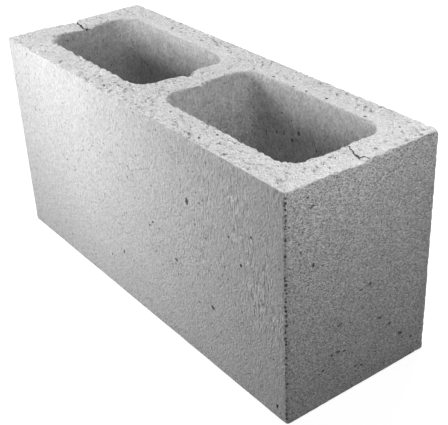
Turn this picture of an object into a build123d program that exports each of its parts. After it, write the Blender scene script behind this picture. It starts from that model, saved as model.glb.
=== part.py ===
from build123d import *

import os

# Hollow two-cell concrete block, cast as one piece in a steel mould.
# Frame: origin at the centre of the bottom bed face, +X along the length, +Y across the width, +Z up.
# All sizes are in millimetres.

# Overall size
LENGTH = 390.0
WIDTH = 140.0
HEIGHT = 190.0

# Walls, measured on the top bed face, where the tapered cores leave them thinnest
FACE_SHELL = 26.0
END_WEB = 26.0
CENTRE_WEB = 27.0

# Cells, formed by the cores: each wall leans in by the draft between the top and the bottom
CELL_COUNT = 2
CELL_CORNER_RADIUS = 17.0
CELL_DRAFT = 1.5

# Eased edges: the upright outer corners, and the rims of both bed faces
CORNER_EASE = 2.0
RIM_EASE = 1.5

# Mark left across the webs by the bar that holds the cores: a ramp down to the centre line, then a steep step up
BAR_MARK_DEPTH = 2.0
BAR_MARK_RAMP = 26.0
BAR_MARK_STEP = 2.5

# How far a cutting tool stands past the faces that it cuts
CUT_MARGIN = 10.0

OUTPUT_FOLDER = "parts"
NODE_NAME = "concrete_block"


def outer_body():
    """The moulded outside: a plain prism with its four upright corners eased."""
    outline = RectangleRounded(LENGTH, WIDTH, CORNER_EASE)
    return extrude(outline, HEIGHT)


def cell_centres():
    """The cells' places along the length, and the length of one cell at the top face."""
    cell_length = (LENGTH - 2 * END_WEB - (CELL_COUNT - 1) * CENTRE_WEB) / CELL_COUNT
    pitch = cell_length + CENTRE_WEB
    first = -pitch * (CELL_COUNT - 1) / 2
    return [first + pitch * number for number in range(CELL_COUNT)], cell_length


def cell_core(centre_x, cell_length):
    """One tapered core, from the bottom face to the top face, with the cell's rounded corners."""
    cell_width = WIDTH - 2 * FACE_SHELL
    taper = 2 * CELL_DRAFT
    mouth = Pos(centre_x, 0, HEIGHT) * RectangleRounded(cell_length, cell_width, CELL_CORNER_RADIUS)
    foot = Pos(centre_x, 0, 0) * RectangleRounded(cell_length - taper, cell_width - taper, CELL_CORNER_RADIUS)
    return loft([foot, mouth], ruled=True)


def ease_rims(block):
    """Rounds every edge of the two bed faces, outside and at the cells' mouths."""
    beds = block.faces().filter_by(Axis.Z).sort_by(Axis.Z)
    rims = beds[0].edges() + beds[-1].edges()
    return fillet(rims, RIM_EASE)


def bar_mark_cutter():
    """A long wedge along the centre line that takes the bar's mark out of the top of every web."""
    top = HEIGHT + CUT_MARGIN
    profile = Polyline(
        (-BAR_MARK_RAMP, HEIGHT),
        (0, HEIGHT - BAR_MARK_DEPTH),
        (BAR_MARK_STEP, HEIGHT),
        (BAR_MARK_STEP, top),
        (-BAR_MARK_RAMP, top),
        close=True,
    )
    section = Plane.YZ * make_face(profile)
    return extrude(section, LENGTH / 2 + CUT_MARGIN, both=True)


def concrete_block():
    """The whole block: outside, cells, eased rims and the bar's mark."""
    block = outer_body()
    centres, cell_length = cell_centres()
    for centre_x in centres:
        block -= cell_core(centre_x, cell_length)
    return ease_rims(block) - bar_mark_cutter()


os.makedirs(OUTPUT_FOLDER, exist_ok=True)
block = concrete_block()
block.label = NODE_NAME
export_step(block, os.path.join(OUTPUT_FOLDER, NODE_NAME + ".step"))
print(NODE_NAME, "volume", round(block.volume / 1e6, 3), "litres")
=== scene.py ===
"""Dresses the hollow concrete block: one dry-cast piece with worn arrises, chips, pits and a bar mark."""

import logging
import math
import random
from dataclasses import dataclass, field
from enum import Enum, IntEnum
from typing import Callable

import bpy
import numpy as np
from mathutils import Euler, Matrix, Vector


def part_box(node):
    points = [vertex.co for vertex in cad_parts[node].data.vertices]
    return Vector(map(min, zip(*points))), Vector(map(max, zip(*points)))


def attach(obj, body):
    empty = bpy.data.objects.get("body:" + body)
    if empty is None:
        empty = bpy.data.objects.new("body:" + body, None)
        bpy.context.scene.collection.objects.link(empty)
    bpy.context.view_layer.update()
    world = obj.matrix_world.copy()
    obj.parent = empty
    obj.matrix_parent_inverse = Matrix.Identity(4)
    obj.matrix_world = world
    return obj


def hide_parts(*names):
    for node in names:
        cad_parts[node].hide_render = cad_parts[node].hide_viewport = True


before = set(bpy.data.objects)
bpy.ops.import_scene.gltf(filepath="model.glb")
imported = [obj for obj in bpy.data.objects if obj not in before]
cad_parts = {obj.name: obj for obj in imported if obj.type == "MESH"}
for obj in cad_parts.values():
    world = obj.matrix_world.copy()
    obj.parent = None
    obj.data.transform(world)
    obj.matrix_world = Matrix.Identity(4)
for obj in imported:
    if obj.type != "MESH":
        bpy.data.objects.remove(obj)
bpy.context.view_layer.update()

NODE = "concrete_block"
BODY = "root"
MM = 0.001

log = logging.getLogger(NODE)


class Surface(IntEnum):
    """The kinds of surface on the block, in the order of its material slots."""

    LONG_FACE = 0
    END_FACE = 1
    TOP_BED = 2
    BOTTOM_BED = 3
    CELL_WALL = 4
    ARRIS = 5
    CHIP = 6
    # Pits, crevices and the near corner's row, whose dark finish is painted shade.
    SHADED_PIT = 7


class Side(Enum):
    """The flat sides that blemishes are placed on."""

    FRONT = "front"
    BACK = "back"
    RIGHT_END = "right_end"
    LEFT_END = "left_end"
    TOP = "top"
    BOTTOM = "bottom"
    RIGHT_CELL_FAR = "right_cell_far"
    RIGHT_CELL_NEAR = "right_cell_near"
    RIGHT_CELL_CENTRE = "right_cell_centre"
    RIGHT_CELL_END = "right_cell_end"
    LEFT_CELL_FAR = "left_cell_far"
    LEFT_CELL_NEAR = "left_cell_near"
    LEFT_CELL_CENTRE = "left_cell_centre"
    LEFT_CELL_END = "left_cell_end"


class Arris(Enum):
    """The kinds of edge that wear."""

    UPRIGHT = "upright"
    TOP_OUTER = "top_outer"
    BOTTOM_OUTER = "bottom_outer"
    TOP_MOUTH = "top_mouth"
    BOTTOM_MOUTH = "bottom_mouth"


# Small modelling helpers


def deselect_all() -> None:
    """Leaves edit mode and clears the selection."""
    if bpy.context.object and bpy.context.object.mode != "OBJECT":
        bpy.ops.object.mode_set(mode="OBJECT")
    bpy.ops.object.select_all(action="DESELECT")


def make_active(obj: bpy.types.Object) -> None:
    """Selects one object alone and makes it the active one.

    Args:
        obj: the object to work on.
    """
    deselect_all()
    obj.select_set(True)
    bpy.context.view_layer.objects.active = obj


def add_box(name: str, low: Vector, high: Vector) -> bpy.types.Object:
    """Adds a cube primitive that fills a box, with its place and size in its mesh.

    Args:
        name: the new object's name.
        low: the box's lowest corner.
        high: the box's highest corner.

    Returns:
        The new object, active and selected.
    """
    deselect_all()
    bpy.ops.mesh.primitive_cube_add(size=1.0, location=(low + high) / 2, scale=high - low)
    bpy.ops.object.transform_apply(location=True, rotation=True, scale=True)
    obj = bpy.context.object
    obj.name = name
    return obj


def select_edges(obj: bpy.types.Object, wanted: Callable[[Vector, Vector], bool]) -> None:
    """Enters edit mode with only the wanted edges selected.

    Args:
        obj: the active mesh object.
        wanted: a test that takes an edge's two end points.
    """
    bpy.ops.object.mode_set(mode="EDIT")
    bpy.ops.mesh.select_mode(type="EDGE")
    bpy.ops.mesh.select_all(action="DESELECT")
    bpy.ops.object.mode_set(mode="OBJECT")
    points = obj.data.vertices
    for edge in obj.data.edges:
        first, second = (points[number].co for number in edge.vertices)
        edge.select = wanted(first, second)
    bpy.ops.object.mode_set(mode="EDIT")


def runs_along(axis: str, least: float = 0.9) -> Callable[[Vector, Vector], bool]:
    """Makes a test for edges that run mainly along one axis.

    Args:
        axis: the axis's letter.
        least: the least share of an edge's length that has to lie along the axis.

    Returns:
        The test, which takes an edge's two end points.
    """
    return lambda first, second: abs(getattr(second - first, axis)) > least * (second - first).length


def apply_modifier(obj: bpy.types.Object, modifier: bpy.types.Modifier) -> None:
    """Applies one modifier to its object's mesh."""
    make_active(obj)
    bpy.ops.object.modifier_apply(modifier=modifier.name)


def cut_away(obj: bpy.types.Object, cutter: bpy.types.Object) -> None:
    """Subtracts a cutter from an object and removes the cutter.

    Args:
        obj: the object that is cut.
        cutter: the closed mesh that is taken away.
    """
    modifier = obj.modifiers.new("cut", "BOOLEAN")
    modifier.operation = "DIFFERENCE"
    modifier.solver = "MANIFOLD"
    modifier.object = cutter
    apply_modifier(obj, modifier)
    bpy.data.objects.remove(cutter)


def remesh(obj: bpy.types.Object, voxel: float) -> None:
    """Rebuilds an object's surface as an even grid.

    Args:
        obj: the object that is rebuilt.
        voxel: the size of the grid's squares.
    """
    modifier = obj.modifiers.new("even_grid", "REMESH")
    modifier.mode = "VOXEL"
    modifier.voxel_size = voxel
    apply_modifier(obj, modifier)


def apply_weighted(
    obj: bpy.types.Object, modifier: bpy.types.Modifier, weights: np.ndarray, steps: int = 12
) -> None:
    """Applies a modifier by weights, through a vertex group that has a few even steps.

    Args:
        obj: the modifier's object.
        modifier: the modifier, which names the group.
        weights: one weight for each vertex, from 0 to 1.
        steps: how many levels the weights are rounded to.
    """
    group = obj.vertex_groups.new(name=modifier.name)
    levels = np.rint(np.clip(weights, 0.0, 1.0) * steps).astype(int)
    for level in range(1, steps + 1):
        chosen = np.flatnonzero(levels == level)
        if len(chosen):
            group.add(chosen.tolist(), level / steps, "REPLACE")
    modifier.vertex_group = group.name
    apply_modifier(obj, modifier)
    obj.vertex_groups.clear()


def rows_of(items: bpy.types.bpy_prop_collection, name: str) -> np.ndarray:
    """Reads one vector of every vertex or face.

    Args:
        items: a mesh's vertices or faces.
        name: the vector's name.

    Returns:
        Rows of x, y and z.
    """
    values = np.empty(len(items) * 3, np.float32)
    items.foreach_get(name, values)
    return values.reshape(-1, 3)


def triangle_count(obj: bpy.types.Object) -> int:
    """How many triangles the object's faces make."""
    return sum(len(face.vertices) - 2 for face in obj.data.polygons)


# The block's measures


@dataclass(frozen=True)
class Panel:
    """One flat side: its middle, the way along it and up it, and how far it reaches."""

    middle: Vector
    along: Vector
    up: Vector
    half_length: float
    half_height: float

    def place(self, along: float, up: float) -> Matrix:
        """The frame of a spot on the side, with its third axis pointing out of the concrete.

        Args:
            along: how far the spot is from the middle, along the side.
            up: how far the spot is from the middle, up the side.

        Returns:
            The spot's place and axes.
        """
        axes = Matrix((self.along, self.up, self.along.cross(self.up))).transposed()
        spot = self.middle + self.along * along + self.up * up
        return Matrix.Translation(spot) @ axes.to_4x4()


@dataclass
class BlockSizes:
    """The block's real sizes, in metres, with its outside taken from the frame."""

    low: Vector
    high: Vector
    face_shell: float = 0.026
    end_web: float = 0.026
    centre_web: float = 0.027
    cell_corner: float = 0.017
    cell_draft: float = 0.0015
    corner_ease: float = 0.002
    apex_share: float = 0.4
    bar_depth: float = 0.002
    bar_ramp: float = 0.026
    bar_step: float = 0.0025

    @property
    def middle(self) -> Vector:
        """The middle of the block's box."""
        return (self.low + self.high) / 2

    @property
    def half(self) -> Vector:
        """Half of the block's box."""
        return (self.high - self.low) / 2

    @property
    def cell_length(self) -> float:
        """One cell's length at the top face."""
        return (self.high.x - self.low.x - 2 * self.end_web - self.centre_web) / 2

    @property
    def cell_width(self) -> float:
        """One cell's width at the top face."""
        return self.high.y - self.low.y - 2 * self.face_shell

    @property
    def cell_centres(self) -> tuple[float, float]:
        """The cells' places along the length."""
        offset = (self.cell_length + self.centre_web) / 2
        return (-offset, offset)

    def panels(self) -> dict[Side, Panel]:
        """Every flat side of the block, the cells' walls among them."""
        x, y, z = Vector((1, 0, 0)), Vector((0, 1, 0)), Vector((0, 0, 1))
        middle, half = self.middle, self.half
        found = {
            Side.FRONT: Panel(middle - y * half.y, x, z, half.x, half.z),
            Side.BACK: Panel(middle + y * half.y, -x, z, half.x, half.z),
            Side.RIGHT_END: Panel(middle + x * half.x, y, z, half.y, half.z),
            Side.LEFT_END: Panel(middle - x * half.x, -y, z, half.y, half.z),
            Side.TOP: Panel(middle + z * half.z, x, y, half.x, half.y),
            Side.BOTTOM: Panel(middle - z * half.z, -x, y, half.x, half.y),
        }
        length = self.cell_length / 2
        width = self.cell_width / 2
        inset = self.cell_draft / 2
        for centre, hand in zip(self.cell_centres, ("LEFT", "RIGHT")):
            cell = Vector((centre, 0.0, middle.z))
            outward = 1 if centre > 0 else -1
            flat_length, flat_width = length - self.cell_corner, width - self.cell_corner
            walls = {
                "FAR": (y * (width - inset), x, flat_length),
                "NEAR": (-y * (width - inset), -x, flat_length),
                "CENTRE": (-x * outward * (length - inset), y * outward, flat_width),
                "END": (x * outward * (length - inset), -y * outward, flat_width),
            }
            for wall, (offset, along, reach) in walls.items():
                found[Side[f"{hand}_CELL_{wall}"]] = Panel(cell + offset, along, z, reach, half.z)
        return found

    def wall_gap(self, points: np.ndarray) -> np.ndarray:
        """How far points lie from the nearest cell's wall, seen from above.

        Args:
            points: rows of x, y and z.

        Returns:
            Distances, negative inside a cell.
        """
        shrink = self.cell_draft * (self.high.z - points[:, 2]) / (self.high.z - self.low.z)
        gaps = []
        for centre in self.cell_centres:
            half = np.array((self.cell_length / 2, self.cell_width / 2)) - self.cell_corner
            offset = np.abs(points[:, :2] - (centre, 0.0)) - half
            outside = np.linalg.norm(np.maximum(offset, 0.0), axis=1)
            gaps.append(outside + np.minimum(offset.max(axis=1), 0.0) - self.cell_corner + shrink)
        return np.minimum(*gaps)

    def bed_height(self, points: np.ndarray) -> np.ndarray:
        """The height of the top bed at points, with the bar mark's ramp in it."""
        y = points[:, 1]
        ramp = np.interp(y, (-self.bar_ramp, 0.0, self.bar_step), (0.0, self.bar_depth, 0.0))
        return self.high.z - ramp

    def outer_gaps(self, points: np.ndarray) -> tuple[np.ndarray, np.ndarray]:
        """How far points lie inside the ends, and inside the long faces."""
        ends = self.half.x - np.abs(points[:, 0] - self.middle.x)
        faces = self.half.y - np.abs(points[:, 1] - self.middle.y)
        return ends, faces

    def depth(self, points: np.ndarray) -> np.ndarray:
        """How deep points lie below the unworn surface.

        Args:
            points: rows of x, y and z.

        Returns:
            The smallest distance to a face, a bed or a cell's wall.
        """
        gaps = (
            *self.outer_gaps(points),
            self.bed_height(points) - points[:, 2],
            points[:, 2] - self.low.z,
            self.wall_gap(points),
        )
        return np.min(gaps, axis=0)

    def arris_gap(self, arris: Arris, points: np.ndarray) -> np.ndarray:
        """How far points lie from the nearest arris of one kind.

        Args:
            arris: the kind of arris.
            points: rows of x, y and z.

        Returns:
            Distances, measured across the two faces that meet at the arris.
        """
        ends, faces = self.outer_gaps(points)
        top = np.abs(self.bed_height(points) - points[:, 2])
        bottom = points[:, 2] - self.low.z
        mouth = np.abs(self.wall_gap(points))
        pairs = {
            Arris.UPRIGHT: (ends, faces),
            Arris.TOP_OUTER: (top, np.minimum(ends, faces)),
            Arris.BOTTOM_OUTER: (bottom, np.minimum(ends, faces)),
            Arris.TOP_MOUTH: (top, mouth),
            Arris.BOTTOM_MOUTH: (bottom, mouth),
        }
        return np.hypot(*pairs[arris])

    def near_arris(self, arris: Arris, points: np.ndarray, reach: float) -> np.ndarray:
        """How near points lie to an arris of one kind.

        Args:
            arris: the kind of arris.
            points: rows of x, y and z.
            reach: how far away a point counts as far.

        Returns:
            Shares, 1 on the arris and 0 where it is far.
        """
        return np.clip(1.0 - self.arris_gap(arris, points) / reach, 0.0, 1.0)

    def arris_spots(self, arris: Arris, spacing: float) -> list[Matrix]:
        """Evenly spaced spots along every arris of one kind.

        Args:
            arris: the kind of arris.
            spacing: how far apart the spots are.

        Returns:
            The spots' frames, with the first axis along the arris and the third pointing out of the concrete.
        """
        if arris is Arris.UPRIGHT:
            return self._upright_spots(spacing)
        top = arris in (Arris.TOP_OUTER, Arris.TOP_MOUTH)
        height = self.high.z if top else self.low.z
        face = Vector((0, 0, 1 if top else -1))
        if arris in (Arris.TOP_OUTER, Arris.BOTTOM_OUTER):
            return self._loop_spots(Vector((0, 0, height)), self.half, self.corner_ease, face, 1.0, spacing)
        shrink = 0.0 if top else self.cell_draft
        half = Vector((self.cell_length / 2 - shrink, self.cell_width / 2 - shrink, 0.0))
        spots = []
        for centre in self.cell_centres:
            middle = Vector((centre, 0, height))
            spots += self._loop_spots(middle, half, self.cell_corner, face, -1.0, spacing)
        return spots

    def _upright_spots(self, spacing: float) -> list[Matrix]:
        """Spots up the four outer corners."""
        spots = []
        for x in (-1, 1):
            for y in (-1, 1):
                out = Vector((x, y, 0)).normalized()
                along = Vector((0, 0, 1))
                axes = Matrix((along, out.cross(along), out)).transposed().to_4x4()
                corner = Vector((x * self.half.x, y * self.half.y, self.low.z))
                foot = corner - out * self.corner_ease * self.apex_share
                for height in np.arange(spacing / 2, self.high.z - self.low.z, spacing):
                    spots.append(Matrix.Translation(foot + along * float(height)) @ axes)
        return spots

    def _loop_spots(
        self, centre: Vector, half: Vector, corner: float, face: Vector, outward: float, spacing: float
    ) -> list[Matrix]:
        """Spots round a level rectangle with rounded corners.

        Args:
            centre: the rectangle's middle.
            half: half of its length and width.
            corner: the radius of its corners.
            face: the way the level face looks.
            outward: 1 if the upright face looks away from the middle, -1 if it looks towards it.
            spacing: how far apart the spots are.

        Returns:
            The spots' frames.
        """
        steps = 64
        nudge = 1e-6
        least_run = 1e-9
        angles = np.linspace(0, math.tau, steps + 1)[:-1]
        ring = np.stack((np.cos(angles), np.sin(angles)), 1)
        quarter = np.sign(np.stack((np.cos(angles + nudge), np.sin(angles + nudge)), 1))
        outline = quarter * (np.array(half)[:2] - corner) + corner * ring
        outline = np.vstack((outline, outline[:1]))
        run = np.concatenate(((0.0,), np.cumsum(np.linalg.norm(np.diff(outline, axis=0), axis=1))))
        spots = []
        for reach in np.arange(spacing / 2, run[-1], spacing):
            step = min(int(np.searchsorted(run, reach)), len(run) - 1)
            start, end = outline[step - 1], outline[step]
            share = (reach - run[step - 1]) / max(run[step] - run[step - 1], least_run)
            along = Vector((*(end - start), 0.0)).normalized()
            out = (along.cross(Vector((0, 0, 1))) * outward + face).normalized()
            axes = Matrix((along, out.cross(along), out)).transposed().to_4x4()
            spot = centre + Vector((*(start + (end - start) * share), 0.0))
            spots.append(Matrix.Translation(spot) @ axes)
        return spots


# The concrete's finish


@dataclass
class NodeSheet:
    """A node tree being drawn, with short calls for what it needs."""

    tree: bpy.types.NodeTree

    def add(self, kind: str, **settings: object) -> bpy.types.Node:
        """Adds a node and sets its properties.

        Args:
            kind: the node's type name.
            settings: the node's properties by name.

        Returns:
            The node.
        """
        node = self.tree.nodes.new(kind)
        for name, value in settings.items():
            setattr(node, name, value)
        return node

    def feed(self, socket: bpy.types.NodeSocket, value: object) -> None:
        """Links an output to a socket, or sets the socket to a plain value."""
        if isinstance(value, bpy.types.NodeSocket):
            self.tree.links.new(value, socket)
        else:
            socket.default_value = value

    def math(self, operation: str, *values: object) -> bpy.types.NodeSocket:
        """Adds a math node.

        Args:
            operation: the sum to work out.
            values: its operands, as sockets or numbers.

        Returns:
            The node's result.
        """
        node = self.add("ShaderNodeMath", operation=operation)
        for socket, value in zip(node.inputs, values):
            self.feed(socket, value)
        return node.outputs[0]

    def total(self, *values: object) -> bpy.types.NodeSocket:
        """The sum of several values."""
        result = values[0]
        for value in values[1:]:
            result = self.math("ADD", result, value)
        return result

    def weighted(self, start: float, *pairs: tuple[bpy.types.NodeSocket, float]) -> bpy.types.NodeSocket:
        """A start value plus several values, each times its weight."""
        return self.total(start, *(self.math("MULTIPLY", value, weight) for value, weight in pairs))

    def spread(
        self, value: bpy.types.NodeSocket, low: float, high: float, least: float = -1.0
    ) -> bpy.types.NodeSocket:
        """Stretches a value and clamps it.

        Args:
            value: the value to stretch.
            low: what becomes the least value.
            high: what becomes 1.
            least: the least value.

        Returns:
            The stretched value.
        """
        node = self.add("ShaderNodeMapRange", clamp=True)
        for name, setting in (("From Min", low), ("From Max", high), ("To Min", least), ("To Max", 1.0)):
            node.inputs[name].default_value = setting
        self.feed(node.inputs["Value"], value)
        return node.outputs["Result"]

    def noise(self, vector: object, scale: object, detail: float, rough: float) -> bpy.types.NodeSocket:
        """Adds a noise texture.

        Args:
            vector: where the noise is read.
            scale: lumps to the metre.
            detail: how many finer layers lie on the lumps.
            rough: how strong the finer layers are.

        Returns:
            The noise's value.
        """
        node = self.add("ShaderNodeTexNoise")
        self.feed(node.inputs["Vector"], vector)
        self.feed(node.inputs["Scale"], scale)
        node.inputs["Detail"].default_value = detail
        node.inputs["Roughness"].default_value = rough
        return node.outputs["Fac"]

    def cells(self, vector: object, scale: object) -> tuple[bpy.types.NodeSocket, ...]:
        """Adds a cell pattern.

        Args:
            vector: where the pattern is read.
            scale: cells to the metre.

        Returns:
            The distance from a cell's middle, and two chance values of the cell.
        """
        node = self.add("ShaderNodeTexVoronoi", feature="F1")
        self.feed(node.inputs["Vector"], vector)
        self.feed(node.inputs["Scale"], scale)
        chance = self.add("ShaderNodeSeparateColor")
        self.feed(chance.inputs["Color"], node.outputs["Color"])
        return node.outputs["Distance"], chance.outputs["Red"], chance.outputs["Green"]


@dataclass(frozen=True)
class Effect:
    """A shader node group that concrete finishes share."""

    name: str
    takes: tuple[str, ...]
    gives: tuple[str, ...]

    def start(self) -> tuple[NodeSheet, dict[str, bpy.types.NodeSocket], bpy.types.Node]:
        """Makes the group with its sockets.

        Returns:
            The group's sheet, its inputs by name, and its output node.
        """
        tree = bpy.data.node_groups.new(self.name, "ShaderNodeTree")
        tree.interface.new_socket("Vector", in_out="INPUT", socket_type="NodeSocketVector")
        for name in self.takes:
            tree.interface.new_socket(name, in_out="INPUT", socket_type="NodeSocketFloat")
        for name in self.gives:
            tree.interface.new_socket(name, in_out="OUTPUT", socket_type="NodeSocketFloat")
        sheet = NodeSheet(tree)
        inputs = {socket.name: socket for socket in sheet.add("NodeGroupInput").outputs if socket.name}
        return sheet, inputs, sheet.add("NodeGroupOutput")

    def use(self, sheet: NodeSheet, vector: object, **values: float) -> dict[str, bpy.types.NodeSocket]:
        """Places the group in a material.

        Args:
            sheet: the material's sheet.
            vector: where the effect is read.
            values: the group's other inputs by name.

        Returns:
            The group's outputs by name.
        """
        node = sheet.add("ShaderNodeGroup", node_tree=bpy.data.node_groups[self.name])
        sheet.feed(node.inputs["Vector"], vector)
        for name, value in values.items():
            sheet.feed(node.inputs[name], value)
        return {socket.name: socket for socket in node.outputs}


SAND_GRAIN = Effect("sand_grain", ("Scale",), ("Tone", "Height"))
DRAG_MARKS = Effect("drag_marks", ("Scale",), ("Tone", "Height"))
PINHOLES = Effect("pinholes", ("Scale", "Share"), ("Mask",))
SPECKS = Effect("specks", ("Scale", "Level"), ("Mask",))
STREAKED = Effect("streaked", (), ("Share",))
# Painted light: a paler band at the top of the cell walls, where light falls into the cells.
RIM_PAINTED_LIGHT = Effect("rim_painted_light", (), ("Share",))
CLOUDING = Effect("clouding", ("Scale",), ("Tone",))


def draw_sand_grain() -> None:
    """Draws the packed sand: lumps of paste with single grains that stand out light or dark."""
    grains_to_lumps = 0.8
    tone_share = 0.5
    grain_height = 0.4
    sheet, given, out = SAND_GRAIN.start()
    paste = sheet.noise(given["Vector"], given["Scale"], detail=2.0, rough=0.6)
    lumps = sheet.spread(paste, low=0.28, high=0.72)
    grain_scale = sheet.math("MULTIPLY", given["Scale"], grains_to_lumps)
    distance, chance, _ = sheet.cells(given["Vector"], grain_scale)
    single = sheet.spread(chance, low=0.0, high=1.0)
    dome = sheet.spread(distance, low=0.75, high=0.1)
    lump_tone = sheet.math("MULTIPLY", lumps, tone_share)
    sheet.feed(out.inputs["Tone"], sheet.math("MULTIPLY_ADD", single, tone_share, lump_tone))
    sheet.feed(out.inputs["Height"], sheet.math("MULTIPLY_ADD", dome, grain_height, lumps))


def draw_drag_marks() -> None:
    """Draws the marks of the mould as it was pulled off: long soft scratches along the stretched axis."""
    patches_to_marks = 0.12
    sheet, given, out = DRAG_MARKS.start()
    scratches = sheet.noise(given["Vector"], given["Scale"], detail=3.0, rough=0.55)
    patch_scale = sheet.math("MULTIPLY", given["Scale"], patches_to_marks)
    patches = sheet.noise(given["Vector"], patch_scale, detail=1.0, rough=0.5)
    strength = sheet.spread(patches, low=0.4, high=0.65, least=0.0)
    marks = sheet.math("MULTIPLY", sheet.spread(scratches, low=0.3, high=0.7), strength)
    for name in DRAG_MARKS.gives:
        sheet.feed(out.inputs[name], marks)


def draw_pinholes() -> None:
    """Draws pinholes: some cells of a cell pattern have a round hole, each of its own size."""
    least_radius = 0.12
    radius_range = 0.22
    edge_slope = 2.5
    sheet, given, out = PINHOLES.start()
    distance, chance, size = sheet.cells(given["Vector"], given["Scale"])
    chosen = sheet.math("LESS_THAN", chance, given["Share"])
    radius = sheet.math("MULTIPLY_ADD", size, radius_range, least_radius)
    inside = sheet.math("SUBTRACT", 1.0, sheet.math("DIVIDE", distance, radius))
    soft = sheet.math("MULTIPLY", sheet.math("MAXIMUM", inside, 0.0), edge_slope)
    sheet.feed(out.inputs["Mask"], sheet.math("MULTIPLY", chosen, sheet.math("MINIMUM", soft, 1.0)))


def draw_specks() -> None:
    """Draws painted shade in the small gaps between sand grains: the highest parts of a noise, with soft
    edges.
    """
    edge_slope = 9.0
    sheet, given, out = SPECKS.start()
    grain = sheet.noise(given["Vector"], given["Scale"], detail=1.0, rough=0.5)
    above = sheet.math("MULTIPLY", sheet.math("SUBTRACT", grain, given["Level"]), edge_slope)
    sheet.feed(out.inputs["Mask"], sheet.math("MINIMUM", sheet.math("MAXIMUM", above, 0.0), 1.0))


def draw_streaked() -> None:
    """Draws where the mould dragged hardest: round the upper near corner, fading out along the faces."""
    corner = (0.19, -0.07, 0.13)
    fades_out = 0.135
    full_within = 0.02
    elsewhere = 0.1
    sheet, given, out = STREAKED.start()
    reach = sheet.add("ShaderNodeVectorMath", operation="DISTANCE")
    for socket, value in zip(reach.inputs, (given["Vector"], corner)):
        sheet.feed(socket, value)
    share = sheet.spread(reach.outputs["Value"], low=fades_out, high=full_within, least=elsewhere)
    sheet.feed(out.inputs["Share"], share)


def draw_rim_painted_light() -> None:
    """Draws painted light on the cell walls: a paler band just under the top bed, fading downwards, where
    light falls into the cells.
    """
    fades_out = 0.1485
    full_above = 0.187
    sheet, given, out = RIM_PAINTED_LIGHT.start()
    place = sheet.add("ShaderNodeSeparateXYZ")
    sheet.feed(place.inputs["Vector"], given["Vector"])
    share = sheet.spread(place.outputs["Z"], low=fades_out, high=full_above, least=0.0)
    sheet.feed(out.inputs["Share"], share)


def draw_clouding() -> None:
    """Draws the broad light and dark patches of cement that dried unevenly."""
    sheet, given, out = CLOUDING.start()
    patches = sheet.noise(given["Vector"], given["Scale"], detail=4.0, rough=0.55)
    sheet.feed(out.inputs["Tone"], sheet.spread(patches, low=0.3, high=0.7))


@dataclass(frozen=True)
class ConcreteFinish:
    """One surface's concrete: its tone and the strengths of the effects that it carries.

    Tones are shares of the base tone, and reliefs are heights in metres.
    """

    surface: Surface
    tone: float
    grain_scale: float = 900.0
    grain_stretch: tuple[float, float, float] = (1.0, 1.0, 1.0)
    grain_tone: float = 0.25
    grain_relief: float = 0.0004
    speck_scale: float = 480.0
    speck_level: float = 0.58
    # Painted shade in the small gaps between grains.
    speck_shade: float = 0.3
    speck_relief: float = 0.0003
    drag_scale: float = 260.0
    drag_stretch: tuple[float, float, float] = (1.0, 1.0, 0.16)
    drag_tone: float = 0.0
    drag_relief: float = 0.0
    streak_tone: float = 0.0
    rim_light_tone: float = 0.0
    pin_scale: float = 260.0
    pin_share: float = 0.10
    # Painted shade in the pinholes.
    pin_shade: float = 0.35
    pin_relief: float = 0.0004
    cloud_scale: float = 22.0
    cloud_tone: float = 0.03
    roughness: float = 0.93
    specular: float = 0.2

    def build(self) -> bpy.types.Material:
        """Draws the finish as a material on Object coordinates.

        Returns:
            The material.
        """
        material = bpy.data.materials.new(f"concrete_{self.surface.name.lower()}")
        material.use_nodes = True
        sheet = NodeSheet(material.node_tree)
        shader = material.node_tree.nodes["Principled BSDF"]
        where = sheet.add("ShaderNodeTexCoord").outputs["Object"]
        grainy = self._stretched(sheet, where, self.grain_stretch)
        dragged = self._stretched(sheet, where, self.drag_stretch)
        grain = SAND_GRAIN.use(sheet, grainy, Scale=self.grain_scale)
        drag = DRAG_MARKS.use(sheet, dragged, Scale=self.drag_scale)
        specks = SPECKS.use(sheet, grainy, Scale=self.speck_scale, Level=self.speck_level)
        pins = PINHOLES.use(sheet, where, Scale=self.pin_scale, Share=self.pin_share)
        clouds = CLOUDING.use(sheet, where, Scale=self.cloud_scale)
        streaks = sheet.math("MULTIPLY", drag["Tone"], STREAKED.use(sheet, where)["Share"])
        # Painted light: the rim share makes the cell walls paler just under the top bed, where light falls
        # in.
        rim = RIM_PAINTED_LIGHT.use(sheet, where)
        tone = sheet.weighted(
            1.0,
            (grain["Tone"], self.grain_tone),
            (drag["Tone"], self.drag_tone),
            (streaks, self.streak_tone),
            (rim["Share"], self.rim_light_tone),
            # Painted shade: the specks are darkened, for the shade in the small gaps between grains.
            (specks["Mask"], -self.speck_shade),
            (clouds["Tone"], self.cloud_tone),
            # Painted shade: the pinholes are darkened, for the shade inside them.
            (pins["Mask"], -self.pin_shade),
        )
        height = sheet.weighted(
            0.0,
            (grain["Height"], self.grain_relief),
            (drag["Height"], self.drag_relief),
            (specks["Mask"], -self.speck_relief),
            (pins["Mask"], -self.pin_relief),
        )
        sheet.feed(shader.inputs["Base Color"], sheet.math("MULTIPLY", tone, self.tone))
        bump = sheet.add("ShaderNodeBump")
        bump.inputs["Distance"].default_value = 1.0
        sheet.feed(bump.inputs["Height"], height)
        sheet.feed(shader.inputs["Normal"], bump.outputs["Normal"])
        shader.inputs["Roughness"].default_value = self.roughness
        shader.inputs["Specular IOR Level"].default_value = self.specular
        return material

    def _stretched(
        self, sheet: NodeSheet, where: bpy.types.NodeSocket, stretch: tuple[float, float, float]
    ) -> bpy.types.NodeSocket:
        """The place with its axes scaled, so that a pattern on it is drawn out."""
        mapping = sheet.add("ShaderNodeMapping")
        mapping.inputs["Scale"].default_value = stretch
        sheet.feed(mapping.inputs["Vector"], where)
        return mapping.outputs["Vector"]


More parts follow.
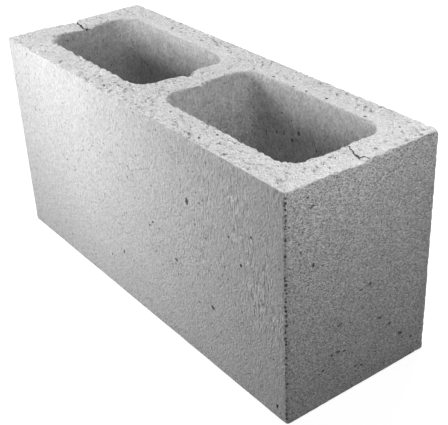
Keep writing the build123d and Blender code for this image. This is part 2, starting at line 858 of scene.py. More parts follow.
FINISHES = (
    ConcreteFinish(
        Surface.LONG_FACE,
        tone=0.505,
        grain_stretch=(1.0, 1.0, 0.5),
        grain_tone=0.2,
        grain_relief=0.0003,
        speck_scale=600.0,
        speck_level=0.57,
        speck_shade=0.18,
        drag_scale=600.0,
        drag_stretch=(1.0, 1.0, 0.22),
        drag_relief=0.0001,
        streak_tone=-0.7,
    ),
    ConcreteFinish(
        Surface.END_FACE,
        tone=0.54,
        grain_stretch=(1.0, 0.8, 1.5),
        grain_tone=0.58,
        speck_scale=800.0,
        speck_level=0.55,
        speck_shade=0.5,
        drag_tone=0.02,
    ),
    ConcreteFinish(
        Surface.TOP_BED,
        tone=0.67,
        grain_tone=0.26,
        speck_level=0.66,
        speck_shade=0.12,
        pin_share=0.03,
        pin_shade=0.25,
    ),
    ConcreteFinish(Surface.BOTTOM_BED, tone=0.60, grain_tone=0.22, speck_level=0.62, pin_share=0.2),
    ConcreteFinish(
        Surface.CELL_WALL,
        tone=0.50,
        # Painted light on the top of the cell walls, where light falls into the cells.
        rim_light_tone=0.3,
        grain_stretch=(1.0, 1.0, 0.7),
        grain_tone=0.38,
        speck_scale=700.0,
        speck_shade=0.25,
        drag_tone=0.05,
        drag_relief=0.0003,
        cloud_scale=120.0,
        cloud_tone=0.14,
    ),
    ConcreteFinish(Surface.ARRIS, tone=0.50, grain_tone=0.4),
    ConcreteFinish(Surface.CHIP, tone=0.58, grain_tone=0.3, grain_relief=0.0005),
    # The dark tone of the pits, crevices and near corner's row is painted shade, for the shade deep inside
    # them.
    ConcreteFinish(Surface.SHADED_PIT, tone=0.18, pin_share=0.0),
)


# The block's shape


@dataclass
class CellCore:
    """The tapered mould core that leaves one cell."""

    sizes: BlockSizes
    centre: float
    corner_steps: int = 10
    overrun: float = 0.004

    def build(self) -> bpy.types.Object:
        """Models the core as a cutter that runs past both bed faces.

        Returns:
            The cutter.
        """
        sizes = self.sizes
        half = Vector((sizes.cell_length / 2, sizes.cell_width / 2, 0.0))
        foot = Vector((self.centre, 0.0, sizes.low.z - self.overrun))
        head = Vector((self.centre, 0.0, sizes.high.z + self.overrun))
        core = add_box("cell_core", foot - half, head + half)
        self._taper(core, foot)
        select_edges(core, runs_along("z"))
        bpy.ops.mesh.bevel(offset=sizes.cell_corner, segments=self.corner_steps, affect="EDGES")
        bpy.ops.object.mode_set(mode="OBJECT")
        return core

    def _taper(self, core: bpy.types.Object, foot: Vector) -> None:
        """Draws the core's foot in by the draft on every side."""
        sizes = self.sizes
        select_edges(core, lambda first, second: max(first.z, second.z) < foot.z + self.overrun)
        shrink = (
            1 - 2 * sizes.cell_draft / sizes.cell_length,
            1 - 2 * sizes.cell_draft / sizes.cell_width,
            1.0,
        )
        bpy.ops.transform.resize(value=shrink, center_override=foot)
        bpy.ops.object.mode_set(mode="OBJECT")


@dataclass
class BarMark:
    """The mark of the core bar across the webs: a ramp down to the middle, then a ragged step up."""

    sizes: BlockSizes
    overrun: float = 0.01
    ragged_cuts: int = 240
    ragged_size: float = 0.007
    ragged_layers: int = 2
    ragged_reach: float = 0.004
    ragged_rise: float = 0.001

    def build(self) -> bpy.types.Object:
        """Models the mark as a wedge-shaped cutter with a ragged step.

        Returns:
            The cutter.
        """
        sizes = self.sizes
        low = Vector((sizes.low.x - self.overrun, -sizes.bar_ramp, sizes.high.z - sizes.bar_depth))
        high = Vector((sizes.high.x + self.overrun, sizes.bar_step, sizes.high.z + self.overrun))
        wedge = add_box("bar_mark", low, high)
        bpy.ops.object.mode_set(mode="EDIT")
        bpy.ops.mesh.select_all(action="SELECT")
        bpy.ops.mesh.bisect(plane_co=(0, 0, 0), plane_no=(0, 1, 0))
        bpy.ops.object.mode_set(mode="OBJECT")
        for side in (-sizes.bar_ramp, sizes.bar_step):
            self._raise_edge(wedge, side, low.z)
        self._roughen(wedge)
        return wedge

    def _raise_edge(self, wedge: bpy.types.Object, side: float, bottom: float) -> None:
        """Lifts one lower edge of the wedge to the level of the bed face."""
        near = 1e-5
        select_edges(
            wedge,
            lambda first, second: all(
                abs(point.y - side) < near and abs(point.z - bottom) < near for point in (first, second)
            ),
        )
        bpy.ops.transform.translate(value=(0, 0, self.sizes.bar_depth))
        bpy.ops.object.mode_set(mode="OBJECT")

    def _roughen(self, wedge: bpy.types.Object) -> None:
        """Cuts the wedge into short lengths and throws its step about along the webs."""
        select_edges(wedge, runs_along("x"))
        bpy.ops.mesh.subdivide(number_cuts=self.ragged_cuts)
        bpy.ops.object.mode_set(mode="OBJECT")
        step = wedge.vertex_groups.new(name="step")
        for vertex in wedge.data.vertices:
            if vertex.co.y > -self.sizes.bar_step:
                step.add([vertex.index], 1.0, "REPLACE")
        texture = bpy.data.textures.new("ragged_step", "CLOUDS")
        texture.noise_scale = self.ragged_size
        texture.noise_depth = self.ragged_layers
        for direction, reach in (("Y", self.ragged_reach), ("Z", self.ragged_rise)):
            modifier = wedge.modifiers.new("ragged", "DISPLACE")
            modifier.texture = texture
            modifier.texture_coords = "LOCAL"
            modifier.direction = direction
            modifier.strength = reach
            modifier.vertex_group = step.name
            apply_modifier(wedge, modifier)


@dataclass
class RoughStones:
    """Rough stones that are pressed into the block and taken away, to leave chips or pits."""

    leaves: Surface
    seed: int
    fineness: int = 2
    raggedness: float = 0.35
    shapes: int = 6
    merge: float = 0.0
    places: list[Matrix] = field(default_factory=list)

    def press(self, place: Matrix, radii: tuple[float, float, float], turn: float = 0.0) -> None:
        """Adds one stone.

        Args:
            place: the stone's middle and axes.
            radii: its three half sizes, along those axes.
            turn: its turn about the third axis, in radians.
        """
        spin = Matrix.Rotation(turn, 4, "Z")
        self.places.append(place @ spin @ Matrix.Diagonal((*radii, 1.0)))

    def build(self, materials: list[bpy.types.Material]) -> bpy.types.Object:
        """Models the stones as one cutter.

        Args:
            materials: the block's materials, in slot order.

        Returns:
            The cutter.
        """
        dice = random.Random(self.seed)
        patterns = [self._pattern(number, materials) for number in range(self.shapes)]
        copies = []
        for place in self.places:
            pattern = dice.choice(patterns)
            stone = pattern.copy()
            stone.data = pattern.data.copy()
            roll = Euler([dice.uniform(0, math.tau) for _ in range(3)]).to_matrix().to_4x4()
            stone.data.transform(place @ roll)
            bpy.context.scene.collection.objects.link(stone)
            copies.append(stone)
        for pattern in patterns:
            bpy.data.objects.remove(pattern)
        deselect_all()
        for stone in copies:
            stone.select_set(True)
        bpy.context.view_layer.objects.active = copies[0]
        bpy.ops.object.join()
        cutter = bpy.context.object
        if self.merge > 0:
            self._merge(cutter)
        return cutter

    def _merge(self, cutter: bpy.types.Object) -> None:
        """Makes one closed form of stones that overlap."""
        remesh(cutter, self.merge)
        faces = cutter.data.polygons
        faces.foreach_set("material_index", np.full(len(faces), self.leaves, np.int32))

    def _pattern(self, number: int, materials: list[bpy.types.Material]) -> bpy.types.Object:
        """One stone of about unit size, with its corners thrown about."""
        deselect_all()
        bpy.ops.mesh.primitive_ico_sphere_add(subdivisions=self.fineness, radius=1.0)
        stone = bpy.context.object
        bpy.ops.object.mode_set(mode="EDIT")
        bpy.ops.mesh.select_all(action="SELECT")
        bpy.ops.transform.vertex_random(offset=self.raggedness, uniform=0.2, seed=self.seed + number)
        bpy.ops.object.mode_set(mode="OBJECT")
        for material in materials:
            stone.data.materials.append(material)
        for face in stone.data.polygons:
            face.material_index = self.leaves
        return stone


@dataclass(frozen=True)
class Relief:
    """A noise that sinks part of the surface and never raises it."""

    name: str
    grain: float
    depth: float
    contrast: float = 1.0
    level: float = 1.0
    layers: int = 2

    def sink(self, obj: bpy.types.Object, weights: np.ndarray) -> None:
        """Sinks the surface.

        Args:
            obj: the piece.
            weights: how strongly each vertex takes part, from 0 to 1.
        """
        texture = bpy.data.textures.new(self.name, "CLOUDS")
        texture.noise_scale = self.grain
        texture.noise_depth = self.layers
        texture.contrast = self.contrast
        texture.intensity = self.level
        texture.use_clamp = True
        modifier = obj.modifiers.new(self.name, "DISPLACE")
        modifier.texture = texture
        modifier.texture_coords = "LOCAL"
        modifier.strength = -self.depth
        modifier.mid_level = 0.0
        apply_weighted(obj, modifier, weights)


@dataclass(frozen=True)
class Rubbing:
    """Rounds part of the surface off evenly, as rubbing does."""

    name: str
    passes: int
    strength: float = 0.5

    def rub(self, obj: bpy.types.Object, weights: np.ndarray) -> None:
        """Rounds the surface.

        Args:
            obj: the piece.
            weights: how strongly each vertex takes part, from 0 to 1.
        """
        modifier = obj.modifiers.new(self.name, "SMOOTH")
        modifier.factor = self.strength
        modifier.iterations = self.passes
        apply_weighted(obj, modifier, weights)


@dataclass(frozen=True)
class ArrisWear:
    """How one kind of arris is worn: rounded a little all along, with small pieces broken out of it.

    The pieces' half lengths and bites are in millimetres, from the least to the most.
    """

    arris: Arris
    reach: float
    rounding: Rubbing
    spacing: float
    half_length: tuple[float, float]
    bite: tuple[float, float]
    lift: float = 0.45
    width_range: tuple[float, float] = (0.8, 1.3)
    sway: float = 0.4

    def round_off(self, piece: bpy.types.Object, sizes: BlockSizes) -> None:
        """Rounds the piece along every arris of this kind."""
        points = rows_of(piece.data.vertices, "co")
        self.rounding.rub(piece, sizes.near_arris(self.arris, points, self.reach))

    def break_out(self, stones: RoughStones, sizes: BlockSizes, dice: random.Random) -> None:
        """Presses the stones that break small pieces out of the arris.

        Args:
            stones: the stones to add to.
            sizes: the block's sizes.
            dice: where chance comes from.
        """
        for spot in sizes.arris_spots(self.arris, self.spacing):
            bite = dice.uniform(*self.bite) * MM
            radii = (dice.uniform(*self.half_length) * MM, bite * dice.uniform(*self.width_range), bite)
            along = dice.uniform(-1, 1) * self.spacing
            across = dice.uniform(-self.sway, self.sway) * bite
            shift = Vector((along, across, self.lift * bite))
            stones.press(spot @ Matrix.Translation(shift), radii)


@dataclass(frozen=True)
class FarMouthWear:
    """The wide rounding where the cores rubbed the far side of the cells' mouths."""

    reach: float = 9 * MM
    starts: float = 24 * MM
    fullness: float = 0.5
    rounding: Rubbing = Rubbing("far_mouth_rounding", 45)

    def round_off(self, piece: bpy.types.Object, sizes: BlockSizes) -> None:
        """Rounds the far side of both mouths."""
        points = rows_of(piece.data.vertices, "co")
        near = sizes.near_arris(Arris.TOP_MOUTH, points, self.reach)
        far = np.clip((points[:, 1] - self.starts) / self.reach, 0.0, 1.0)
        self.rounding.rub(piece, near**self.fullness * far)


@dataclass(frozen=True)
class Chip:
    """A lump broken out of the block, in millimetres from the middle of its foot."""

    place: tuple[float, float, float]
    radii: tuple[float, float, float]


@dataclass(frozen=True)
class Blemish:
    """A pit on one side, in millimetres from that side's middle."""

    side: Side
    along: float
    up: float
    width: float
    height: float
    depth: float = 1.8
    turn: float = 0.0


@dataclass(frozen=True)
class Crevice:
    """A ragged crack in the top bed: its line, its half width and its depth, in millimetres."""

    line: tuple[tuple[float, float], ...]
    half_width: float
    depth: float
    step: float = 1.3
    overlap: float = 1.1
    wander: float = 0.5
    width_range: tuple[float, float] = (0.6, 1.4)
    depth_range: tuple[float, float] = (0.7, 1.2)

    def open(self, stones: RoughStones, sizes: BlockSizes, dice: random.Random) -> None:
        """Presses the stones that open the crack.

        Args:
            stones: the stones to add to.
            sizes: the block's sizes, which give the bed's height.
            dice: where chance comes from.
        """
        for start, end in zip(self.line, self.line[1:]):
            first, run = Vector((*start, 0.0)), Vector((*end, 0.0)) - Vector((*start, 0.0))
            heading = math.atan2(run.y, run.x)
            for number in range(max(1, round(run.length / self.step))):
                spot = (first + run.normalized() * self.step * number) * MM
                spot.y += dice.uniform(-self.wander, self.wander) * self.half_width * MM
                spot.z = float(sizes.bed_height(np.array((spot,)))[0])
                width = self.half_width * dice.uniform(*self.width_range)
                radii = (self.step * self.overlap, width, self.depth * dice.uniform(*self.depth_range))
                stones.press(Matrix.Translation(spot), tuple(radius * MM for radius in radii), heading)


@dataclass(frozen=True)
class CornerPits:
    """A ragged row of pits down the near corner, with its shifts and half sizes in millimetres."""

    spacing: float = 3.3 * MM
    shifts: tuple[tuple[float, float], ...] = ((-1.2, 1.2), (-0.5, 1.1), (-0.4, 0.3))
    half_sizes: tuple[tuple[float, float], ...] = ((0.5, 1.5), (0.5, 1.6), (0.6, 1.6))
    turn: float = 0.3

    def press(self, stones: RoughStones, sizes: BlockSizes, dice: random.Random) -> None:
        """Presses the stones that leave the row.

        Args:
            stones: the stones to add to.
            sizes: the block's sizes.
            dice: where chance comes from.
        """
        for spot in sizes.arris_spots(Arris.UPRIGHT, self.spacing):
            if spot.translation.x < 0 or spot.translation.y > 0:
                continue
            shift = Vector([dice.uniform(*reach) for reach in self.shifts]) * MM
            radii = tuple(dice.uniform(*reach) * MM for reach in self.half_sizes)
            stones.press(spot @ Matrix.Translation(shift), radii, dice.uniform(-self.turn, self.turn))


@dataclass(frozen=True)
class PitScatter:
    """Small pits on every side: half sizes in millimetres, with heights and depths as shares of them."""

    count: int = 200
    seed: int = 8
    half_size: tuple[float, float] = (0.4, 0.9)
    height: tuple[float, float] = (0.6, 1.6)
    depth: tuple[float, float] = (0.8, 1.3)

    def press(self, stones: RoughStones, panels: dict[Side, Panel]) -> None:
        """Presses as many pits into each side as its area asks for.

        Args:
            stones: the stones to add to.
            panels: the block's sides.
        """
        dice = random.Random(self.seed)
        area = sum(panel.half_length * panel.half_height for panel in panels.values())
        for panel in panels.values():
            share = panel.half_length * panel.half_height / area
            for _ in range(round(self.count * share)):
                along = dice.uniform(-1, 1) * panel.half_length
                up = dice.uniform(-1, 1) * panel.half_height
                size = dice.uniform(*self.half_size) * MM
                radii = (size, size * dice.uniform(*self.height), size * dice.uniform(*self.depth))
                stones.press(panel.place(along, up), radii, dice.uniform(0, math.pi))


CHIPS = (
    Chip((-14.5, 2.5, 190.5), (9.0, 4.8, 6.0)),
    Chip((-16.5, 9.0, 191.0), (5.5, 6.0, 4.0)),
    Chip((14.0, -1.5, 190.0), (3.4, 3.4, 3.2)),
    Chip((171.0, 4.0, 190.5), (2.6, 2.8, 2.8)),
    Chip((-169.0, 1.0, 190.5), (3.4, 3.6, 3.2)),
    Chip((198.0, -73.0, 196.0), (8.8, 8.8, 8.8)),
    Chip((198.5, 73.5, 195.0), (9.6, 9.6, 9.6)),
    Chip((-198.5, 73.5, 195.0), (8.0, 8.0, 8.0)),
    Chip((196.0, 82.4, -12.4), (20.0, 20.0, 20.0)),
    Chip((196.5, 62.5, 1.0), (3.0, 2.2, 2.6)),
    Chip((196.5, -71.5, -1.5), (4.5, 4.5, 4.0)),
    Chip((183.0, -35.5, 189.5), (3.0, 3.0, 1.6)),
)

CREVICES = (
    Crevice(((-196.0, -0.4), (-187.0, -0.8), (-180.0, -2.0), (-173.0, -3.8), (-167.0, -2.4)), 1.0, 2.6),
    Crevice(((-173.0, -3.8), (-168.0, 1.0), (-165.0, 5.0)), 0.8, 2.0),
    Crevice(((170.0, 5.6), (173.5, 5.2), (175.5, 3.0), (179.5, 2.4), (182.0, 0.8)), 0.45, 1.8),
    Crevice(((182.0, 0.8), (187.5, 0.4), (189.5, 2.4), (196.0, 3.6)), 0.45, 1.8),
)

BLEMISHES = (
    Blemish(Side.RIGHT_END, -47.5, 77.0, 5.1, 2.1, turn=20.0),
    Blemish(Side.RIGHT_END, -51.0, 85.0, 2.5, 1.8),
    Blemish(Side.RIGHT_END, 7.7, -6.7, 3.1, 3.4),
    Blemish(Side.RIGHT_END, -1.0, -8.0, 4.6, 1.8, turn=-18.0),
    Blemish(Side.RIGHT_END, 19.7, -42.0, 6.1, 2.1, turn=-18.0),
    Blemish(Side.RIGHT_END, 30.0, -52.0, 4.1, 2.7, turn=-18.0),
    Blemish(Side.RIGHT_END, 42.0, -67.0, 5.1, 3.1, turn=-25.0),
    Blemish(Side.RIGHT_END, 54.0, -75.6, 2.9, 2.5),
    Blemish(Side.RIGHT_END, -20.6, -29.0, 6.1, 1.8, turn=10.0),
    Blemish(Side.RIGHT_END, -22.0, -52.6, 5.1, 2.5, 1.6, -20.0),
    Blemish(Side.RIGHT_END, -16.0, -54.7, 3.1, 2.1),
    Blemish(Side.RIGHT_END, -28.0, -53.0, 2.5, 2.3),
    Blemish(Side.RIGHT_END, -36.0, -62.5, 2.9, 2.3),
    Blemish(Side.RIGHT_END, 2.0, -77.0, 3.7, 2.1, turn=-18.0),
    Blemish(Side.RIGHT_END, -4.0, -74.6, 2.5, 2.1),
    Blemish(Side.RIGHT_END, -46.0, 31.6, 2.5, 3.8),
    Blemish(Side.RIGHT_END, -57.0, 46.0, 2.0, 2.1),
    Blemish(Side.FRONT, 84.0, 42.0, 4.0, 6.0, 0.8),
    Blemish(Side.FRONT, 33.0, 2.0, 2.0, 2.4),
    Blemish(Side.FRONT, 28.0, -3.0, 2.0, 2.4),
    Blemish(Side.FRONT, -19.0, -50.0, 2.0, 4.4),
    Blemish(Side.FRONT, 64.0, -18.0, 4.6, 2.6, 0.8),
    Blemish(Side.FRONT, 110.0, -38.0, 5.5, 3.6, 0.8),
    Blemish(Side.FRONT, 184.0, -84.0, 2.2, 4.6, 2.0),
    Blemish(Side.FRONT, 147.0, 18.0, 2.4, 2.8),
    Blemish(Side.RIGHT_CELL_FAR, -15.0, 58.0, 3.7, 4.0),
    Blemish(Side.RIGHT_CELL_FAR, -23.0, 49.0, 3.7, 3.2),
    Blemish(Side.RIGHT_CELL_FAR, -33.0, 52.0, 1.9, 3.2),
    Blemish(Side.RIGHT_CELL_FAR, -42.0, 50.0, 2.2, 4.0),
    Blemish(Side.RIGHT_CELL_FAR, -55.0, 45.0, 1.6, 4.8),
    Blemish(Side.RIGHT_CELL_FAR, -35.0, 69.0, 3.0, 1.8, turn=-18.0),
    Blemish(Side.RIGHT_CELL_FAR, -44.0, 79.0, 3.0, 1.9, 0.8, turn=-18.0),
    Blemish(Side.RIGHT_CELL_FAR, -24.0, 66.0, 2.2, 1.9),
    Blemish(Side.RIGHT_CELL_FAR, 6.0, 50.0, 1.6, 3.2),
    Blemish(Side.TOP, 144.5, 47.4, 2.9, 2.4),
    Blemish(Side.TOP, 173.5, 52.8, 2.6, 2.1),
    Blemish(Side.TOP, -55.5, -54.5, 2.9, 2.1),
    Blemish(Side.TOP, -33.6, -52.7, 2.4, 1.9),
    Blemish(Side.TOP, 93.9, -62.5, 2.6, 1.9),
    Blemish(Side.TOP, 98.3, -50.2, 4.0, 2.7, 1.2),
    Blemish(Side.TOP, 184.7, 0.8, 3.4, 2.4, 3.6),
    Blemish(Side.TOP, 17.9, 46.5, 2.7, 2.1),
    Blemish(Side.TOP, 41.6, 47.5, 3.2, 2.1),
    Blemish(Side.TOP, 67.4, 46.0, 2.7, 2.1),
    Blemish(Side.TOP, 81.5, 47.0, 3.2, 1.9),
    Blemish(Side.TOP, 102.3, 49.0, 2.9, 2.2),
)

SURFACE_WEAR = (
    ArrisWear(Arris.TOP_OUTER, 3.0 * MM, Rubbing("top_rounding", 2), 5.4 * MM, (1.2, 4.4), (1.0, 2.8)),
    ArrisWear(
        Arris.TOP_MOUTH, 3.0 * MM, Rubbing("mouth_rounding", 1), 4.4 * MM, (1.2, 4.0), (1.2, 3.4), lift=0.35
    ),
    ArrisWear(Arris.UPRIGHT, 3.0 * MM, Rubbing("upright_rounding", 2), 6.0 * MM, (1.0, 3.0), (0.8, 1.6)),
    ArrisWear(Arris.BOTTOM_OUTER, 2.5 * MM, Rubbing("bottom_rounding", 2), 12.0 * MM, (1.0, 3.0), (0.6, 1.2)),
    ArrisWear(
        Arris.BOTTOM_MOUTH, 3.0 * MM, Rubbing("bottom_mouth_rounding", 3), 6.0 * MM, (1.0, 3.4), (1.0, 2.2)
    ),
)


@dataclass
class CastBlock:
    """The block as one cast piece: body, cells, bar mark, worn arrises, chips and pits."""

    sizes: BlockSizes
    voxel: float = 0.0009
    triangle_aim: int = 150_000
    shade_angle: float = 40.0
    bed_roughness: Relief = Relief("bed_roughness", 3.2 * MM, 0.9 * MM, contrast=1.4)
    bed_pores: Relief = Relief("bed_pores", 2.4 * MM, 1.6 * MM, contrast=5.0, level=0.05)
    face_waves: Relief = Relief("face_waves", 26 * MM, 0.25 * MM)
    far_mouth: FarMouthWear = FarMouthWear()
    corner_pits: CornerPits = CornerPits()
    scatter: PitScatter = PitScatter()
    corner_steps: int = 5
    bed_focus: int = 4
    bed_slope: float = 0.6
    cell_reach: float = 2.5 * MM
    chip_depth: float = 1.6 * MM
    arris_width: float = 1.9 * MM
    nibble_seed: int = 17
    crack_seed: int = 5
    materials: list[bpy.types.Material] = field(init=False)
    piece: bpy.types.Object = field(init=False)

    def build(self) -> bpy.types.Object:
        """Models the block.

        Returns:
            The finished piece.
        """
        self.materials = [finish.build() for finish in FINISHES]
        self.piece = self._body()
        for centre in self.sizes.cell_centres:
            cut_away(self.piece, CellCore(self.sizes, centre).build())
        cut_away(self.piece, BarMark(self.sizes).build())
        cut_away(self.piece, self._chips())
        remesh(self.piece, self.voxel)
        cut_away(self.piece, self._nibbles())
        remesh(self.piece, self.voxel)
        self._weather()
        self._thin()
        self._keep_inside()
        self.piece.data.materials.clear()
        for material in self.materials:
            self.piece.data.materials.append(material)
        cut_away(self.piece, self._cracks())
        cut_away(self.piece, self._pits())
        self._assign_finishes()
        make_active(self.piece)
        bpy.ops.object.shade_smooth_by_angle(angle=math.radians(self.shade_angle))
        return self.piece

    def _body(self) -> bpy.types.Object:
        """The outer prism with its upright corners eased."""
        body = add_box("cast_block", self.sizes.low, self.sizes.high)
        select_edges(body, runs_along("z"))
        bpy.ops.mesh.bevel(offset=self.sizes.corner_ease, segments=self.corner_steps, affect="EDGES")
        bpy.ops.object.mode_set(mode="OBJECT")
        return body

    def _chips(self) -> bpy.types.Object:
        """The stones that break lumps out of corners, webs and the bar mark."""
        stones = RoughStones(Surface.CHIP, seed=11, fineness=3)
        for chip in CHIPS:
            place = Matrix.Translation(Vector(chip.place) * MM)
            stones.press(place, tuple(radius * MM for radius in chip.radii))
        return stones.build([])

    def _nibbles(self) -> bpy.types.Object:
        """The stones that break small pieces out all along the arrises."""
        stones = RoughStones(Surface.CHIP, seed=31, merge=0.5 * MM)
        dice = random.Random(self.nibble_seed)
        for wear in SURFACE_WEAR:
            wear.break_out(stones, self.sizes, dice)
        return stones.build([])

    def _weather(self) -> None:
        """Waves the faces, roughens the beds and wears the arrises."""
        piece = self.piece
        self.face_waves.sink(piece, np.ones(len(piece.data.vertices)))
        for relief in (self.bed_roughness, self.bed_pores):
            slope = np.abs(rows_of(piece.data.vertices, "normal")[:, 2])
            relief.sink(piece, slope**self.bed_focus)
        for wear in SURFACE_WEAR:
            wear.round_off(piece, self.sizes)
        self.far_mouth.round_off(piece, self.sizes)

    def _keep_inside(self) -> None:
        """Brings back any point that relief has pushed out of the block's box."""
        points = np.clip(rows_of(self.piece.data.vertices, "co"), self.sizes.low, self.sizes.high)
        self.piece.data.vertices.foreach_set("co", points.astype(np.float32).ravel())
        self.piece.data.update()

    def _thin(self) -> None:
        """Merges the flat parts of the grid, and keeps the fine parts."""
        modifier = self.piece.modifiers.new("thin", "DECIMATE")
        modifier.ratio = min(1.0, self.triangle_aim / triangle_count(self.piece))
        apply_modifier(self.piece, modifier)

    def _pits(self) -> bpy.types.Object:
        """The stones that leave pits: the listed ones and a scatter."""
        # The pits take the dark finish, which is painted shade.
        stones = RoughStones(Surface.SHADED_PIT, seed=23)
        panels = self.sizes.panels()
        for blemish in BLEMISHES:
            place = panels[blemish.side].place(blemish.along * MM, blemish.up * MM)
            radii = (blemish.width / 2 * MM, blemish.height / 2 * MM, blemish.depth * MM)
            stones.press(place, radii, math.radians(blemish.turn))
        self.scatter.press(stones, panels)
        return stones.build(self.materials)

    def _cracks(self) -> bpy.types.Object:
        """The stones that open the crevices and the ragged row at the near corner."""
        # The crevices and the near corner's row take the dark finish, which is painted shade.
        stones = RoughStones(Surface.SHADED_PIT, seed=41, merge=0.45 * MM)
        dice = random.Random(self.crack_seed)
        for crevice in CREVICES:
            crevice.open(stones, self.sizes, dice)
        self.corner_pits.press(stones, self.sizes, dice)
        return stones.build(self.materials)

    def _assign_finishes(self) -> None:
        """Gives each face the finish of the surface that it belongs to."""
        sizes = self.sizes
        faces = self.piece.data.polygons
        centres, normals = rows_of(faces, "center"), rows_of(faces, "normal")
        slots = np.empty(len(faces), np.int32)
        faces.foreach_get("material_index", slots)
        heights, rises = centres[:, 2], normals[:, 2]
        chosen = np.where(np.abs(normals[:, 0]) > np.abs(normals[:, 1]), Surface.END_FACE, Surface.LONG_FACE)
        claims = (
            (Surface.CELL_WALL, sizes.wall_gap(centres) < self.cell_reach),
            (Surface.TOP_BED, (rises > self.bed_slope) & (heights > sizes.middle.z)),
            (Surface.BOTTOM_BED, (rises < -self.bed_slope) & (heights < sizes.middle.z)),
            (Surface.ARRIS, sizes.arris_gap(Arris.UPRIGHT, centres) < self.arris_width),
            (Surface.CHIP, sizes.depth(centres) > self.chip_depth),
            (Surface.SHADED_PIT, slots == Surface.SHADED_PIT),
        )
        for surface, claimed in claims:
            chosen = np.where(claimed, surface, chosen)
        faces.foreach_set("material_index", chosen.astype(np.int32))
        self.piece.data.update()

    def fit_to_frame(self) -> None:
        """Makes the piece ride with the frame in place of the plain node."""
        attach(self.piece, BODY)
        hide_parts(NODE)


# The studio


@dataclass(frozen=True)
class StudioLamp:
    """A square soft lamp aimed at the block."""

    name: str
    place: tuple[float, float, float]
    size: float
    power: float

    def hang(self, target: Vector) -> None:
        """Adds the lamp to the scene.

        Args:
            target: the point that the lamp is aimed at.
        """
        data = bpy.data.lights.new(self.name, "AREA")
        data.size = self.size
        data.energy = self.power
        lamp = bpy.data.objects.new(self.name, data)
        lamp.location = self.place
        lamp.rotation_euler = (Vector(self.place) - target).to_track_quat("Z", "Y").to_euler()
        lamp.visible_camera = False
        bpy.context.scene.collection.objects.link(lamp)


LAMPS = (
    StudioLamp("left_lamp", (-0.15, -0.34, 0.24), 0.15, 1.66),
    StudioLamp("right_lamp", (0.37, -0.02, 0.36), 0.3, 0.90),
    StudioLamp("top_lamp", (-0.50, 0.70, 0.95), 0.6, 16.0),
    StudioLamp("rear_lamp", (-0.75, 0.75, 0.30), 0.5, 2.5),
)


@dataclass(frozen=True)
class Backdrop:
    """The pale floor and the white round it, which give the block little light back."""

    floor_size: float = 8.0
    floor_tone: float = 0.28
    floor_glow: float = 0.86
    white: float = 1.0

    def build(self) -> bpy.types.Object:
        """Adds the floor and the world.

        Returns:
            The floor.
        """
        deselect_all()
        bpy.ops.mesh.primitive_plane_add(size=self.floor_size)
        floor = bpy.context.object
        floor.name = "studio_floor"
        floor.data.materials.append(self._floor_material())
        self._world()
        return floor

    def _seen(self, sheet: NodeSheet) -> bpy.types.NodeSocket:
        """One for rays that show the backdrop, and nought for rays that carry its light."""
        path = sheet.add("ShaderNodeLightPath")
        names = ("Is Camera Ray", "Is Glossy Ray", "Is Transmission Ray")
        return sheet.math("MINIMUM", sheet.total(*(path.outputs[name] for name in names)), 1.0)

    def _floor_material(self) -> bpy.types.Material:
        """A dull floor that shows pale, with the block's shadow on it."""
        material = bpy.data.materials.new("studio_floor")
        material.use_nodes = True
        sheet = NodeSheet(material.node_tree)
        shader = material.node_tree.nodes["Principled BSDF"]
        shader.inputs["Base Color"].default_value = (self.floor_tone, self.floor_tone, self.floor_tone, 1.0)
        shader.inputs["Specular IOR Level"].default_value = 0.0
        shader.inputs["Emission Color"].default_value = (1.0, 1.0, 1.0, 1.0)
        glow = sheet.math("MULTIPLY", self._seen(sheet), self.floor_glow)
        sheet.feed(shader.inputs["Emission Strength"], glow)
        return material

    def _world(self) -> None:
        """A white surround that is seen and gives no light."""
        world = bpy.data.worlds.new("studio_white")
        world.use_nodes = True
        sheet = NodeSheet(world.node_tree)
        ground = world.node_tree.nodes["Background"]
        ground.inputs["Color"].default_value = (1.0, 1.0, 1.0, 1.0)
        sheet.feed(ground.inputs["Strength"], sheet.math("MULTIPLY", self._seen(sheet), self.white))
        bpy.context.scene.world = world


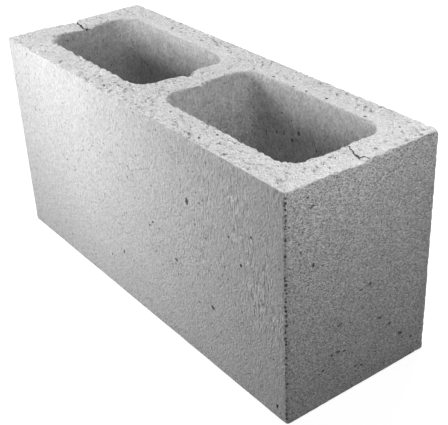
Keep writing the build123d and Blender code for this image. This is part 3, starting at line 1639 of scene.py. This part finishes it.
@dataclass(frozen=True)
class PhotoCamera:
    """The camera that took the picture, found from the block's corners in it."""

    azimuth: float = 54.51
    elevation: float = 29.91
    roll: float = -2.76
    target_right: float = -0.01970
    target_up: float = 0.02613
    distance: float = 0.79872
    focal_px: float = 941.4
    image_width_px: float = 448.0
    sensor: float = 36.0

    def place(self, target: Vector) -> None:
        """Adds the camera and makes it the scene's own.

        Args:
            target: the block's middle, which the fitted offsets are measured from.
        """
        azimuth, elevation = math.radians(self.azimuth), math.radians(self.elevation)
        back = Vector(
            (
                math.sin(azimuth) * math.cos(elevation),
                -math.cos(azimuth) * math.cos(elevation),
                math.sin(elevation),
            )
        )
        level = Vector((0, 0, 1)).cross(back).normalized()
        right = Matrix.Rotation(math.radians(self.roll), 3, back) @ level
        up = back.cross(right)
        data = bpy.data.cameras.new("photo_camera")
        data.sensor_width = self.sensor
        data.lens = self.focal_px * self.sensor / self.image_width_px
        camera = bpy.data.objects.new("photo_camera", data)
        centre = target - right * self.target_right - up * self.target_up + back * self.distance
        axes = Matrix((right, up, back)).transposed()
        camera.matrix_world = Matrix.Translation(centre) @ axes.to_4x4()
        bpy.context.scene.collection.objects.link(camera)
        bpy.context.scene.camera = camera


def main() -> None:
    """Builds the block, the studio and the camera, and logs the piece's triangles, the floor and the lamps.
    """
    logging.basicConfig(level=logging.INFO, format="%(name)s: %(message)s")
    effects = (
        draw_sand_grain,
        draw_drag_marks,
        draw_pinholes,
        draw_specks,
        draw_streaked,
        draw_rim_painted_light,
        draw_clouding,
    )
    for draw in effects:
        draw()
    sizes = BlockSizes(*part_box(NODE))
    block = CastBlock(sizes)
    piece = block.build()
    block.fit_to_frame()
    log.info("%s has %d triangles", piece.name, triangle_count(piece))
    floor = Backdrop().build()
    log.info("%s is stage", floor.name)
    PhotoCamera().place(sizes.middle)
    for lamp in LAMPS:
        lamp.hang(sizes.middle)
        log.info("%s hangs at %s", lamp.name, lamp.place)
    bpy.context.scene.view_settings.view_transform = "Standard"


if __name__ == "__main__":
    main()
